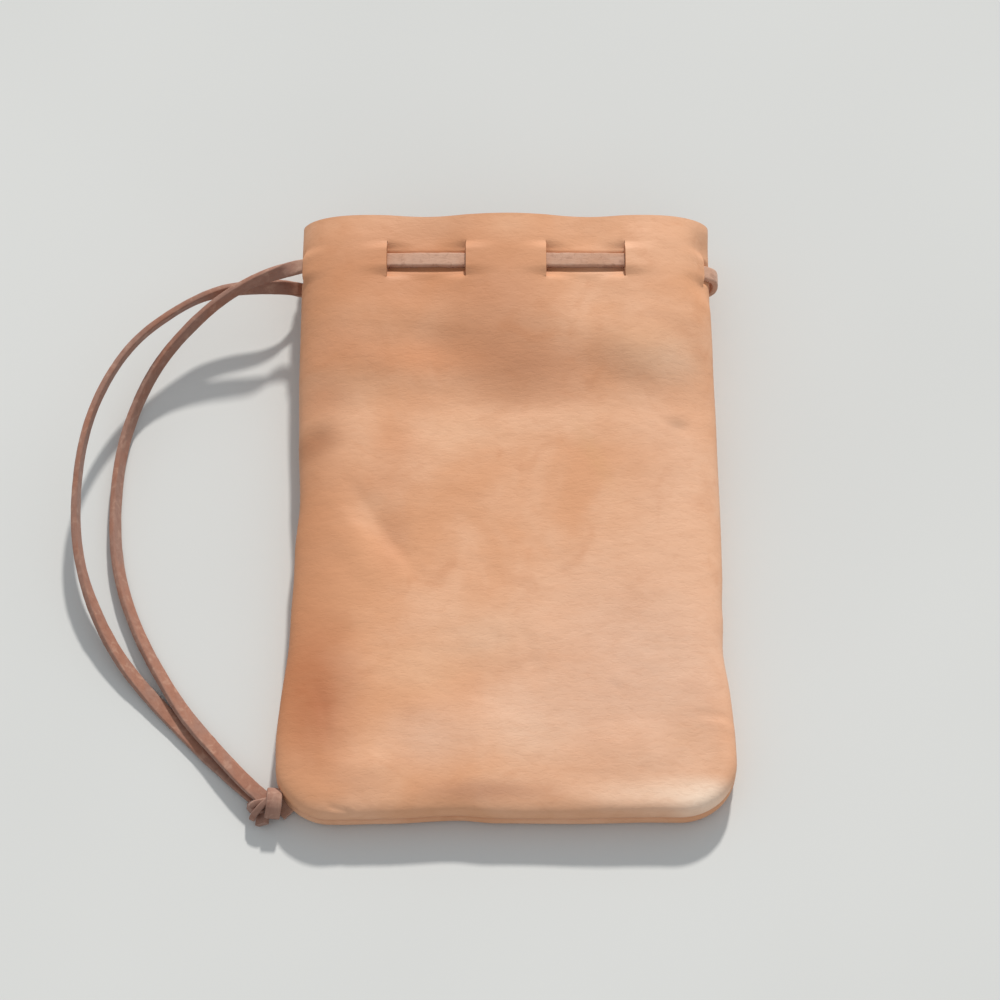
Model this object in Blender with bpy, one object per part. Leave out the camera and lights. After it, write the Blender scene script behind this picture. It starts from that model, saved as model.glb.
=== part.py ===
"""A leather drawstring pouch lying on its back, its mouth held open by the thong woven through it.

Two panels of leather are sewn along their sides and bottom edge and turned, so that the seam allowance
lies inside. A flat thong runs in and out of six slits in each panel, loops round the right-hand seam and
leaves at the left, where its two ends meet in one knot. X runs across the pouch, Y towards its mouth and
Z up from the surface that it lies on. All sizes are in metres.
"""

import bisect
import math

import bmesh
import bpy
from mathutils import Vector

# The pouch as it lies
POUCH_LENGTH = 0.2100
MOUTH_WIDTH = 0.1380
BOTTOM_WIDTH = 0.1466
LEFT_CORNER_RADIUS = 0.0165
RIGHT_CORNER_RADIUS = 0.0190
MOUTH_HEIGHT = 0.0354
BOTTOM_HEIGHT = 0.0115
MOUTH_SEAM_HEIGHT = 0.0140
BOTTOM_SEAM_HEIGHT = 0.0056
WAIST_START = -0.0220
WAIST_END = -0.0860
RIM_DIP = 0.0044
STEP_START = 0.0700
STEP_END = 0.0340
STEP_SHARE = 0.32

# Leather and seam
LEATHER = 0.0014
SEAM_ALLOWANCE = 0.0060
SEAM_TUCK = 0.0010
FRONT_ROLL = 0.0090
BACK_ROLL = 0.0062
BACK_MOUTH_ROLL = 0.0350
CLEARANCE = 0.0003

# Slits and the thong in them
SLITS = 6
SLIT_LENGTH = 0.0140
SLIT_FROM_RIM = 0.0170
SLIT_TO_SEAM = 0.0076
SLIT_GAPE = 0.0012
GATHER_REACH = 0.0480
RIM_WAVE = 0.75
SLIT_END_LEVEL = 0.3
THONG_WIDTH = 0.0048
THONG_THICKNESS = 0.0020
THONG_CHAMFER = 0.0004
LOOP_SLACK = 0.0012
STUB_LENGTH = 0.0030
FRONT_STUB_RISE = 0.0024
BACK_STUB_RISE = 0.0013
FREE_END_DIAMETER = 0.0028

# Soft hollows and swells of the front panel, in millimetres and degrees:
# (x, y, half length, half breadth, heading, height)
RELIEF_MARGIN = 0.0080
FRONT_RELIEF = [
    (-41.0, -8.0, 26.0, 8.0, -54, -1.1),
    (-48.0, -16.0, 22.0, 8.0, -54, 0.5),
    (-62.0, 25.0, 7.0, 5.0, 20, -0.9),
    (42.0, 56.0, 26.0, 13.0, -16, 1.4),
    (-26.0, 58.0, 28.0, 13.0, -10, -0.8),
    (-8.0, -58.0, 30.0, 20.0, 0, -0.7),
    (-44.0, -90.0, 18.0, 9.0, 0, 0.5),
    (38.0, -84.0, 24.0, 12.0, 0, 0.6),
]

# Knot: (x, y, heading, length along the heading, breadth, height) of each rounded piece of it
KNOT_SIDES = 18
KNOT_CHAMFER = 0.0006
KNOT_CORE = (-0.0771, -0.0980, math.radians(-46), 0.0120, 0.0080, 0.0074)
KNOT_WRAP = (-0.0745, -0.0990, math.radians(-5), 0.0048, 0.0104, 0.0092)
KNOT_FOLD = (-0.0788, -0.1003, math.radians(14), 0.0056, 0.0072, 0.0066)
LEFT_TAIL = (-0.0772, -0.0990, math.radians(-94), 0.0075)
RIGHT_TAIL = (-0.0728, -0.0994, math.radians(-42), 0.0050)

# The free ends' routes over the surface, in millimetres, chosen by hand from the way they lie
FRONT_END_ROUTE = [
    (-76.7, 85.9, 22.0), (-82.2, 84.6, 20.9), (-87.3, 82.9, 19.8), (-92.0, 80.6, 18.8),
    (-96.4, 77.7, 17.3), (-101.5, 74.2, 15.4), (-106.5, 69.6, 13.2), (-110.2, 66.0, 11.9),
    (-114.2, 61.6, 10.2), (-118.5, 55.8, 8.0), (-121.8, 49.6, 6.0), (-124.0, 45.0, 4.6),
    (-126.3, 38.1, 3.2), (-128.3, 30.2, 2.3), (-129.3, 20.6, 1.9), (-129.7, 10.0, 1.7),
    (-129.4, -0.8, 1.7), (-128.2, -11.6, 1.7), (-126.0, -21.8, 1.7), (-122.4, -32.4, 1.7),
    (-117.9, -42.6, 1.7), (-113.2, -51.4, 1.7), (-108.1, -60.0, 2.0), (-103.0, -68.0, 2.8),
    (-96.8, -75.6, 3.6), (-90.2, -83.2, 4.4), (-84.6, -89.8, 5.2), (-81.2, -93.2, 5.5),
]
BACK_END_ROUTE = [
    (-73.0, 86.2, 12.3), (-77.2, 85.5, 13.2), (-82.7, 84.8, 13.7), (-88.4, 84.4, 14.0),
    (-93.6, 83.7, 14.4), (-98.2, 82.5, 14.9), (-102.8, 80.4, 15.5), (-107.3, 77.4, 15.9),
    (-111.8, 73.8, 16.3), (-116.7, 69.7, 16.7), (-121.9, 64.9, 17.0), (-127.2, 58.3, 16.9),
    (-132.0, 49.8, 16.5), (-135.7, 41.4, 16.0), (-138.4, 32.9, 15.3), (-140.2, 23.6, 14.3),
    (-141.2, 14.4, 13.0), (-141.5, 5.0, 11.3), (-141.2, -4.4, 9.7), (-140.1, -12.8, 8.3),
    (-138.2, -20.6, 7.1), (-135.4, -28.6, 5.9), (-131.8, -36.8, 4.7), (-127.8, -44.2, 3.5),
    (-123.3, -50.9, 2.5), (-118.4, -57.0, 1.9), (-113.0, -62.8, 1.7), (-106.8, -69.5, 1.7),
    (-101.0, -75.6, 1.7), (-95.2, -81.4, 1.7), (-89.4, -87.0, 1.8), (-84.6, -91.3, 2.2),
    (-81.9, -93.9, 2.4),
]

# Shape exponents and the fineness of the meshes
SHOULDER = 2.7
RISE = 1.6
WINDOW_STEPS = 5
EDGE_STEPS = 3
SECTION_SAMPLES = 160
FRONT_BODY_ROWS = 22
BACK_BODY_ROWS = 6
ROLL_ROWS = 5
FREE_END_SPACING = 0.0070

# How far the leather stands off the thong's own line, to pass over or under it
STANDOFF = LEATHER / 2 + CLEARANCE + THONG_THICKNESS / 2
BOTTOM_Y = -POUCH_LENGTH / 2
RIM_Y = POUCH_LENGTH / 2
SLIT_Y = RIM_Y - SLIT_FROM_RIM

FRONT, BACK = 1, -1
LEFT, RIGHT = -1, 1


def clear_scene():
    for item in list(bpy.data.objects):
        bpy.data.objects.remove(item, do_unlink=True)


def leather_material(name, colour, roughness):
    material = bpy.data.materials.new(name)
    material.use_nodes = True
    shader = material.node_tree.nodes["Principled BSDF"]
    shader.inputs["Base Color"].default_value = (*colour, 1.0)
    shader.inputs["Roughness"].default_value = roughness
    shader.inputs["Metallic"].default_value = 0.0
    return material


def smooth(t):
    t = min(max(t, 0.0), 1.0)
    return t * t * (3.0 - 2.0 * t)


def mix(low, high, share):
    return low + (high - low) * share


def rise(y):
    """0 at the bottom edge, 1 at the rim."""
    return max((y - BOTTOM_Y) / POUCH_LENGTH, 0.0) ** RISE


def half_width(y):
    """Half the pouch's width at y, before its bottom corners are rounded."""
    flare = smooth((WAIST_START - y) / (WAIST_START - WAIST_END))
    return mix(MOUTH_WIDTH, BOTTOM_WIDTH, flare) / 2


def corner_radius(x):
    return LEFT_CORNER_RADIUS if x < 0 else RIGHT_CORNER_RADIUS


def inset(x, y):
    """How far a point of the leather's middle surface lies inside its outline."""
    side = half_width(y) - LEATHER / 2 - abs(x)
    end = y - BOTTOM_Y - LEATHER / 2
    radius = corner_radius(x) - LEATHER / 2
    if side < radius and end < radius:
        return radius - math.hypot(radius - side, radius - end)
    return min(side, end)


def row_reach(flank, y):
    """How far the row at y reaches out to the outline of the leather's middle surface."""
    radius = corner_radius(flank) - LEATHER / 2
    below = max(radius - (y - BOTTOM_Y - LEATHER / 2), 0.0)
    return half_width(y) - LEATHER / 2 - (radius - math.sqrt(max(radius**2 - below**2, 0.0)))


def outline_normal(x, y):
    """The direction straight out of the outline beside (x, y)."""
    radius = corner_radius(x)
    centre = Vector((math.copysign(half_width(y) - radius, x), BOTTOM_Y + radius))
    if y >= centre.y:
        return Vector((math.copysign(1.0, x), 0.0))
    if abs(x) <= abs(centre.x):
        return Vector((0.0, -1.0))
    return (Vector((x, y)) - centre).normalized()


def gather(y):
    """How strongly the thong's waves show at y: fully beside the slits, fading down the pouch."""
    above, below = y - (SLIT_Y + SLIT_LENGTH / 2), (SLIT_Y - SLIT_LENGTH / 2) - y
    if above > 0:
        return mix(1.0, RIM_WAVE, smooth(above / (SLIT_FROM_RIM - SLIT_LENGTH / 2)))
    return 1.0 - smooth(below / GATHER_REACH)


def thong_band(y):
    """1 where the thong lies, 0 beyond the ends of the slits."""
    inner = THONG_WIDTH / 2 + CLEARANCE
    return 1.0 - smooth((abs(y - SLIT_Y) - inner) / (SLIT_LENGTH / 2 - inner))


def face_rise(y):
    """The front face's climb: steady up the body, with a steeper step below the gathers."""
    step = smooth((y - STEP_END) / (STEP_START - STEP_END))
    return mix((y - BOTTOM_Y) / POUCH_LENGTH, step, STEP_SHARE)


def seam_height(y):
    return mix(BOTTOM_SEAM_HEIGHT, MOUTH_SEAM_HEIGHT, rise(y))


def face_height(side, y):
    """Height of the leather's middle surface on the flat of the panel."""
    if side == FRONT:
        return mix(BOTTOM_HEIGHT, MOUTH_HEIGHT, face_rise(y)) - LEATHER / 2
    return LEATHER / 2 + STANDOFF * gather(y)


def allowance_height(side, y):
    return seam_height(y) + side * (CLEARANCE + LEATHER) / 2


def edge_height(side, y):
    return allowance_height(side, y) + side * SEAM_TUCK


def roll_width(side, y):
    if side == FRONT:
        return mix(FRONT_ROLL, half_width(y) - LEATHER / 2, rise(y))
    return mix(BACK_ROLL, BACK_MOUTH_ROLL, rise(y))


def surface_height(side, x, y):
    """The smooth panel, rounding over from its face to its edge like a turned seam."""
    depth = min(max(inset(x, y) / roll_width(side, y), 0.0), 1.0)
    share = (1.0 - (1.0 - depth) ** SHOULDER) ** (1.0 / SHOULDER)
    return mix(edge_height(side, y), face_height(side, y), share)


def relief(side, x, y):
    """How far the panel's soft hollows and swells move it outwards at (x, y)."""
    if side == BACK:
        return 0.0
    total = 0.0
    for centre_x, centre_y, length, breadth, heading, height in FRONT_RELIEF:
        across, up = x - centre_x / 1000, y - centre_y / 1000
        turn = math.radians(heading)
        along = (across * math.cos(turn) + up * math.sin(turn)) / length * 1000
        aside = (up * math.cos(turn) - across * math.sin(turn)) / breadth * 1000
        total += height / 1000 * smooth(1.0 - math.hypot(along, aside))
    return total * smooth(inset(x, y) / RELIEF_MARGIN)


class Section:
    """One panel's section at y. Each half is measured along the leather, from the middle to its edge."""

    def __init__(self, side, y):
        self.side = side
        self.halves = {}
        quarter = math.pi / 2 / SECTION_SAMPLES
        for flank in (LEFT, RIGHT):
            reach = row_reach(flank, y) * flank
            across = [reach * math.sin(i * quarter) for i in range(SECTION_SAMPLES + 1)]
            points = [Vector((x, surface_height(side, x, y))) for x in across]
            along = [0.0]
            for a, b in zip(points, points[1:]):
                along.append(along[-1] + (b - a).length)
            self.halves[flank] = points, along
        self.length = self.halves[RIGHT][1][-1]

    def at(self, fraction):
        """(point, tangent, normal) at a signed fraction of the half section on that side."""
        flank = LEFT if fraction < 0 else RIGHT
        points, along = self.halves[flank]
        target = min(abs(fraction), 1.0) * along[-1]
        i = min(max(bisect.bisect_left(along, target) - 1, 0), SECTION_SAMPLES - 1)
        a, b = points[i], points[i + 1]
        step = max(along[i + 1] - along[i], 1e-12)
        point = a.lerp(b, (target - along[i]) / step)
        tangent = (b - a).normalized() * flank
        normal = Vector((-tangent.y, tangent.x)) * self.side
        return point, tangent, normal


def slit_fractions(side):
    """Where the slits lie, as signed fractions of the half section."""
    half = Section(side, SLIT_Y).length
    pitch = 2 * (half - SLIT_TO_SEAM) / (SLITS - 1)
    return [(k - (SLITS - 1) / 2) * pitch / half for k in range(SLITS)]


def rim_dip(side, y, fraction):
    """The front panel climbs towards its middle, which draws its rim and slits down there."""
    if side == BACK:
        return 0.0
    return RIM_DIP * rise(y) * (1.0 - abs(fraction) ** SHOULDER)


def window_lift(side, y, fraction, window, slits):
    """How far the leather stands out from the thong's line in one window between two slits."""
    band = thong_band(y)
    flush = SLIT_END_LEVEL * gather(y) * (1.0 - band) if side == FRONT else 0.0
    if window in (-1, SLITS - 1):
        to_seam = (abs(fraction) - slits[-1]) / (1.0 - slits[-1])
        return STANDOFF * (flush - band) * (1.0 - smooth(to_seam))
    sign = 1.0 if window % 2 == 0 else -1.0
    middle = (slits[window] + slits[window + 1]) / 2
    phase = math.pi * (fraction - middle) / (slits[1] - slits[0])
    return STANDOFF * (sign * mix(gather(y) * math.cos(phase), 1.0, band) + flush)


def panel_columns(slits):
    """[(fraction, window to its left, window to its right)]: equal on plain columns."""
    stops = [-1.0, *slits, 1.0]
    columns = []
    for k, (a, b) in enumerate(zip(stops, stops[1:])):
        steps = EDGE_STEPS if k in (0, SLITS) else WINDOW_STEPS
        columns.append((a, max(k - 2, -1), k - 1))
        columns += [(mix(a, b, i / steps), k - 1, k - 1) for i in range(1, steps)]
    return [*columns, (1.0, SLITS - 1, SLITS - 1)]


def panel_rows(side):
    """The rows of the panel, from the rim to the bottom edge, closer where the leather turns."""
    slit_top, slit_end = SLIT_Y + SLIT_LENGTH / 2, SLIT_Y - SLIT_LENGTH / 2
    band = THONG_WIDTH / 2 + CLEARANCE
    between = (band + SLIT_LENGTH / 2) / 2
    rows = [RIM_Y, mix(RIM_Y, slit_top, 0.5)]
    rows += [slit_top, SLIT_Y + between, SLIT_Y + band, SLIT_Y]
    rows += [SLIT_Y - band, SLIT_Y - between, slit_end]
    edge = BOTTOM_Y + LEATHER / 2
    roll = roll_width(side, BOTTOM_Y)
    roll_top = edge + roll
    count = FRONT_BODY_ROWS if side == FRONT else BACK_BODY_ROWS
    rows += [mix(slit_end, roll_top, i / count) for i in range(1, count + 1)]
    for i in range(1, ROLL_ROWS + 1):
        angle = math.pi / 2 * (1.0 - i / ROLL_ROWS)
        rows.append(edge + roll * (1.0 - math.cos(angle) ** (2.0 / SHOULDER)))
    return rows


def leather_point(section, y, fraction, lift, spread=0.0):
    point, tangent, normal = section.at(fraction)
    lift += relief(section.side, point.x, y)
    place = point + normal * lift + tangent * spread
    return Vector((place.x, y - rim_dip(section.side, y, fraction), place.y))


def panel_grid(mesh, side):
    """The panel's middle surface as rows of vertices. A slit's two lips have vertices of their own."""
    slits = slit_fractions(side)
    columns, rows = panel_columns(slits), panel_rows(side)
    grid = []
    for y in rows:
        section = Section(side, y)
        in_slit = abs(y - SLIT_Y) < SLIT_LENGTH / 2 - CLEARANCE
        line = []
        for fraction, left, right in columns:
            if left != right and in_slit:
                spread = SLIT_GAPE / 2 * thong_band(y)
                lips = ((left, -spread), (right, spread))
            else:
                lips = ((right, 0.0),)
            pair = []
            for window, shift in lips:
                lift = window_lift(side, y, fraction, window, slits)
                pair.append(mesh.verts.new(leather_point(section, y, fraction, lift, shift)))
            line.append((pair[0], pair[-1]))
        grid.append(line)
    return grid


def add_allowance(mesh, side, grid):
    """The stitched line, drawn in behind the rolled edge, and the allowance turned in from it."""
    border = [line[0][0] for line in grid]
    border += [pair[0] for pair in grid[-1][1:]]
    border += [line[-1][0] for line in reversed(grid[:-1])]
    previous = border
    for depth in (SEAM_TUCK, SEAM_TUCK + SEAM_ALLOWANCE):
        ring = []
        for vertex in border:
            x, y, _ = vertex.co
            away = outline_normal(x, y) * depth
            ring.append(mesh.verts.new((x - away.x, y - away.y, allowance_height(side, y))))
        for i in range(len(border) - 1):
            quad = (previous[i], previous[i + 1], ring[i + 1], ring[i])
            mesh.faces.new(quad if side == BACK else quad[::-1])
        previous = ring


def make_panel(name, side, material):
    mesh = bmesh.new()
    grid = panel_grid(mesh, side)
    for upper, lower in zip(grid, grid[1:]):
        for k in range(len(upper) - 1):
            quad = (upper[k][1], lower[k][1], lower[k + 1][0], upper[k + 1][0])
            mesh.faces.new(quad if side == FRONT else quad[::-1])
    add_allowance(mesh, side, grid)
    panel = add_mesh(name, mesh, material)
    wall = panel.modifiers.new("Leather", "SOLIDIFY")
    wall.thickness = LEATHER
    wall.offset = 0.0
    wall.use_even_offset = True
    wall.use_rim = True
    return panel


def add_mesh(name, mesh, material):
    data = bpy.data.meshes.new(name)
    mesh.to_mesh(data)
    mesh.free()
    data.materials.append(material)
    data.shade_smooth()
    data.set_sharp_from_angle(angle=math.radians(50))
    item = bpy.data.objects.new(name, data)
    bpy.context.scene.collection.objects.link(item)
    return item


def thong_line(side, fractions, lifts):
    """[(place, width direction)] of the thong's middle along one panel, tilted as the panel is."""
    edges = [(Section(side, SLIT_Y + shift), SLIT_Y + shift) for shift in (-THONG_WIDTH / 2, THONG_WIDTH / 2)]
    line = []
    for fraction, lift in zip(fractions, lifts):
        low, high = (leather_point(section, y, fraction, lift) for section, y in edges)
        line.append(((low + high) / 2, (high - low).normalized()))
    return line


def woven_line():
    """The thong's middle from its left-hand front stub, round the right-hand seam, to its back stub."""
    lines = []
    for side, stub_rise in ((FRONT, FRONT_STUB_RISE), (BACK, BACK_STUB_RISE)):
        slits = slit_fractions(side)
        half = Section(side, SLIT_Y).length
        inner = [c[0] for c in panel_columns(slits) if abs(c[0]) <= slits[-1] + 1e-9]
        outer = [mix(slits[-1], 1.0, i / EDGE_STEPS) for i in range(1, EDGE_STEPS + 1)]
        loop = [(STANDOFF + LOOP_SLACK) * i / EDGE_STEPS for i in range(1, EDGE_STEPS + 1)]
        stub = -slits[-1] - STUB_LENGTH / half
        fractions = [stub, *inner, *outer]
        lifts = [stub_rise, *(0.0 for _ in inner), *loop]
        lines.append(thong_line(side, fractions, lifts))
    return lines[0] + lines[1][::-1]


def strip_ring(mesh, place, width, normal):
    """One section of the flat thong: a rectangle with small chamfers, wide along width."""
    half_w, half_t, cut = THONG_WIDTH / 2, THONG_THICKNESS / 2, THONG_CHAMFER
    corners = ((half_w, half_t - cut), (half_w - cut, half_t), (cut - half_w, half_t))
    corners += ((-half_w, half_t - cut),)
    corners += tuple((-a, -b) for a, b in corners)
    return [mesh.verts.new(place + width * a + normal * b) for a, b in corners]


def make_strip(name, line, material):
    """A flat strip swept along line, each section square to the strip's own direction."""
    mesh = bmesh.new()
    rings = []
    last = len(line) - 1
    for i, (place, width) in enumerate(line):
        heading = line[min(i + 1, last)][0] - line[max(i - 1, 0)][0]
        normal = heading.cross(width).normalized()
        rings.append(strip_ring(mesh, place, width, normal))
    for a, b in zip(rings, rings[1:]):
        for i in range(len(a)):
            j = (i + 1) % len(a)
            mesh.faces.new((a[i], a[j], b[j], b[i]))
    mesh.faces.new(rings[0][::-1])
    mesh.faces.new(rings[-1])
    bmesh.ops.recalc_face_normals(mesh, faces=mesh.faces)
    return add_mesh(name, mesh, material)


def smooth_route(points, spacing):
    """Points about spacing apart on a smooth curve through the route's own points."""
    stops = [points[0] * 2 - points[1], *points, points[-1] * 2 - points[-2]]
    route = [points[0]]
    for before, a, b, after in zip(stops, stops[1:], stops[2:], stops[3:]):
        steps = max(round((b - a).length / spacing), 1)
        for i in range(1, steps + 1):
            t = i / steps
            curve = a * 2 + (b - before) * t + (before * 2 - a * 5 + b * 4 - after) * t**2
            curve += (a * 3 - before - b * 3 + after) * t**3
            route.append(curve * 0.5)
    return route


def make_free_end(name, stub, chosen, material):
    """A plain round stand-in for one free end, from just off the woven run's stub to the knot's face."""
    (tip, _), (slit, _) = stub
    heading = (tip - slit).normalized()
    start = [tip + heading * CLEARANCE, tip + heading * (CLEARANCE + STUB_LENGTH)]
    route = smooth_route(start + [Vector(p) / 1000 for p in chosen], FREE_END_SPACING)
    curve = bpy.data.curves.new(name, "CURVE")
    curve.dimensions = "3D"
    curve.bevel_depth = FREE_END_DIAMETER / 2
    curve.bevel_resolution = 2
    curve.use_fill_caps = True
    spline = curve.splines.new("POLY")
    spline.points.add(len(route) - 1)
    for point, place in zip(spline.points, route):
        point.co = (*place, 1.0)
    curve.materials.append(material)
    item = bpy.data.objects.new(name, curve)
    bpy.context.scene.collection.objects.link(item)
    return item


def oval_band(name, piece, material):
    """A rounded piece of the knot: an oval drum whose own X axis runs along its heading."""
    x, y, heading, length, breadth, height = piece
    half, shoulder = length / 2, 1.0 - 2 * KNOT_CHAMFER / height
    mesh = bmesh.new()
    stations = [(-half, 0.0), (-half, shoulder), (KNOT_CHAMFER - half, 1.0)]
    stations += [(half - KNOT_CHAMFER, 1.0), (half, shoulder), (half, 0.0)]
    corners = [mesh.verts.new((along, 0.0, radius)) for along, radius in stations]
    edges = [mesh.edges.new(pair) for pair in zip(corners, corners[1:])]
    turn = {"axis": (1, 0, 0), "angle": 2 * math.pi, "steps": KNOT_SIDES, "use_merge": True}
    bmesh.ops.spin(mesh, geom=[*corners, *edges], cent=(0, 0, 0), **turn)
    bmesh.ops.remove_doubles(mesh, verts=mesh.verts, dist=1e-6)
    bmesh.ops.scale(mesh, vec=(1.0, breadth / 2, height / 2), verts=mesh.verts)
    bmesh.ops.recalc_face_normals(mesh, faces=mesh.faces)
    band = add_mesh(name, mesh, material)
    band.location = (x, y, height / 2)
    band.rotation_euler.z = heading
    return band


def cut_tail(name, tail, material):
    """One short cut end of the thong, lying flat where it comes out of the knot."""
    x, y, heading, length = tail
    mesh = bmesh.new()
    bmesh.ops.create_cube(mesh, size=1.0)
    for vertex in mesh.verts:
        vertex.co.x = (vertex.co.x + 0.5) * length
        vertex.co.y *= THONG_WIDTH
        vertex.co.z *= THONG_THICKNESS
    piece = add_mesh(name, mesh, material)
    piece.location = (x, y, THONG_THICKNESS / 2 + CLEARANCE)
    piece.rotation_euler.z = heading
    return piece


def make_knot(material):
    """The overhand knot: the two ends side by side, the wrap over them, its fold and the cut tails."""
    knot = oval_band("drawstring_knot", KNOT_CORE, material)
    joined = [
        oval_band("wrap", KNOT_WRAP, material),
        oval_band("fold", KNOT_FOLD, material),
        cut_tail("left_tail", LEFT_TAIL, material),
        cut_tail("right_tail", RIGHT_TAIL, material),
    ]
    for piece in joined:
        piece.hide_render = True
        piece.display_type = "WIRE"
        join = knot.modifiers.new(piece.name, "BOOLEAN")
        join.operation = "UNION"
        join.object = piece
    return knot


def main():
    clear_scene()
    hide = leather_material("Tan leather", (0.70, 0.43, 0.24), 0.72)
    lace = leather_material("Thong leather", (0.36, 0.19, 0.11), 0.68)
    make_panel("front_panel", FRONT, hide)
    make_panel("back_panel", BACK, hide)
    woven = woven_line()
    make_strip("drawstring", woven, lace)
    make_free_end("drawstring_front_end", woven[:2], FRONT_END_ROUTE, lace)
    make_free_end("drawstring_back_end", woven[:-3:-1], BACK_END_ROUTE, lace)
    make_knot(lace)


main()
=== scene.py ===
"""Looks of a leather drawstring pouch that lies on its back with its mouth standing open.

The shape functions are the part's own, on a much finer grid. The leather then gets soft creases, an
uneven outline and the cut, grain and flesh surfaces of the real thing.
"""

import bisect
import functools
import math

import bmesh
import bpy
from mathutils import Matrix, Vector, noise


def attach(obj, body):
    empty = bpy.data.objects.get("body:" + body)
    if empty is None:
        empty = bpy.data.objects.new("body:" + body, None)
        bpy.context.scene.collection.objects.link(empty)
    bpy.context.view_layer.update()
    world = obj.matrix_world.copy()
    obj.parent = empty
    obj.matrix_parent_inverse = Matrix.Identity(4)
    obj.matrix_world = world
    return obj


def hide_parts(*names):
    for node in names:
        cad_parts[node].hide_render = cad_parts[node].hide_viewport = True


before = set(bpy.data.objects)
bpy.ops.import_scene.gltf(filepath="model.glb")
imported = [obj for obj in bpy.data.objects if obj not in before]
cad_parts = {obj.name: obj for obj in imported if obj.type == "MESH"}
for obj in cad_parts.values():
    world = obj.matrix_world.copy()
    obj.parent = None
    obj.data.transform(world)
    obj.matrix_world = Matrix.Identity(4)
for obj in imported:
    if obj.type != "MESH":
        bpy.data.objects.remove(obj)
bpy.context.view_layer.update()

# The pouch as it lies
POUCH_LENGTH = 0.2100
MOUTH_WIDTH = 0.1380
BOTTOM_WIDTH = 0.1466
LEFT_CORNER_RADIUS = 0.0165
RIGHT_CORNER_RADIUS = 0.0190
MOUTH_HEIGHT = 0.0354
BOTTOM_HEIGHT = 0.0115
MOUTH_SEAM_HEIGHT = 0.0140
BOTTOM_SEAM_HEIGHT = 0.0056
WAIST_START = -0.0220
WAIST_END = -0.0860
RIM_DIP = 0.0044
STEP_START = 0.0700
STEP_END = 0.0340
STEP_SHARE = 0.22

# Leather and seam
LEATHER = 0.0014
SEAM_ALLOWANCE = 0.0060
SEAM_TUCK = 0.0010
FRONT_ROLL = 0.0090
BACK_ROLL = 0.0062
BACK_MOUTH_ROLL = 0.0350
CLEARANCE = 0.0003

# Slits and the thong in them
SLITS = 6
SLIT_LENGTH = 0.0140
SLIT_FROM_RIM = 0.0170
SLIT_TO_SEAM = 0.0076
INNER_SLITS = 0.963
GATHER_REACH = 0.0480
RIM_WAVE = 0.75
SLIT_END_LEVEL = 0.40
THONG_WIDTH = 0.0048
THONG_THICKNESS = 0.0020
THONG_CORNER = 0.00045
LOOP_SLACK = 0.0012
STUB_LENGTH = 0.0030
FRONT_STUB_RISE = 0.0024
BACK_STUB_RISE = 0.0013

# Soft hollows and swells of the front panel, in millimetres and degrees:
# (x, y, half length, half breadth, heading, height)
FRONT_RELIEF = [
    (-41.0, -8.0, 26.0, 9.0, -54, -0.8),
    (-48.0, -16.0, 22.0, 8.0, -54, 0.5),
    (-62.0, 25.0, 8.0, 6.0, 20, -0.5),
    (42.0, 56.0, 26.0, 13.0, -16, 0.8),
    (-26.0, 58.0, 28.0, 13.0, -10, -0.8),
    (-8.0, -58.0, 30.0, 20.0, 0, -0.7),
    (-44.0, -90.0, 18.0, 9.0, 0, 0.5),
    (38.0, -84.0, 24.0, 12.0, 0, 0.6),
]
RELIEF_MARGIN = 0.0080

# The free ends' routes over the surface, in millimetres, chosen from the way they lie
FRONT_END_ROUTE = [
    (-76.7, 85.9, 22.0), (-82.2, 84.6, 20.9), (-87.3, 82.9, 19.8), (-92.0, 80.6, 18.8),
    (-96.4, 77.7, 17.3), (-101.5, 74.2, 15.4), (-106.5, 69.6, 13.2), (-110.2, 66.0, 11.9),
    (-114.2, 61.6, 10.2), (-118.5, 55.8, 8.0), (-121.8, 49.6, 6.0), (-124.0, 45.0, 4.6),
    (-126.3, 38.1, 3.2), (-128.3, 30.2, 2.3), (-129.3, 20.6, 1.9), (-129.7, 10.0, 1.7),
    (-129.4, -0.8, 1.7), (-128.2, -11.6, 1.7), (-126.0, -21.8, 1.7), (-122.4, -32.4, 1.7),
    (-117.9, -42.6, 1.7), (-113.2, -51.4, 1.7), (-108.1, -60.0, 2.0), (-103.0, -68.0, 2.8),
    (-96.8, -75.6, 3.6), (-90.2, -83.2, 4.4), (-84.6, -89.8, 5.2), (-81.2, -93.2, 5.5),
]
BACK_END_ROUTE = [
    (-73.0, 86.2, 12.3), (-77.2, 85.5, 13.2), (-82.7, 84.8, 13.7), (-88.4, 84.4, 14.0),
    (-93.6, 83.7, 14.4), (-98.2, 82.5, 14.9), (-102.8, 80.4, 15.5), (-107.3, 77.4, 15.9),
    (-111.8, 73.8, 16.3), (-116.7, 69.7, 16.7), (-121.9, 64.9, 17.0), (-127.2, 58.3, 16.9),
    (-132.0, 49.8, 16.5), (-135.7, 41.4, 16.0), (-138.4, 32.9, 15.3), (-140.2, 23.6, 14.3),
    (-141.2, 14.4, 13.0), (-141.5, 5.0, 11.3), (-141.2, -4.4, 9.7), (-140.1, -12.8, 8.3),
    (-138.2, -20.6, 7.1), (-135.4, -28.6, 5.9), (-131.8, -36.8, 4.7), (-127.8, -44.2, 3.5),
    (-123.3, -50.9, 2.5), (-118.4, -57.0, 1.9), (-113.0, -62.8, 1.7), (-106.8, -69.5, 1.7),
    (-101.0, -75.6, 1.7), (-95.2, -81.4, 1.7), (-89.4, -87.0, 1.8), (-84.6, -91.3, 2.2),
    (-81.9, -93.9, 2.4),
]

# The scene's own ends of the two routes, under the knot's wrap
FRONT_END_TUCK = [(-78.4, -95.9, 5.7), (-75.6, -98.3, 5.6), (-73.6, -99.6, 5.4)]
BACK_END_TUCK = [(-79.2, -96.3, 2.8), (-76.6, -98.4, 3.0), (-74.4, -99.6, 3.0)]

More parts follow.
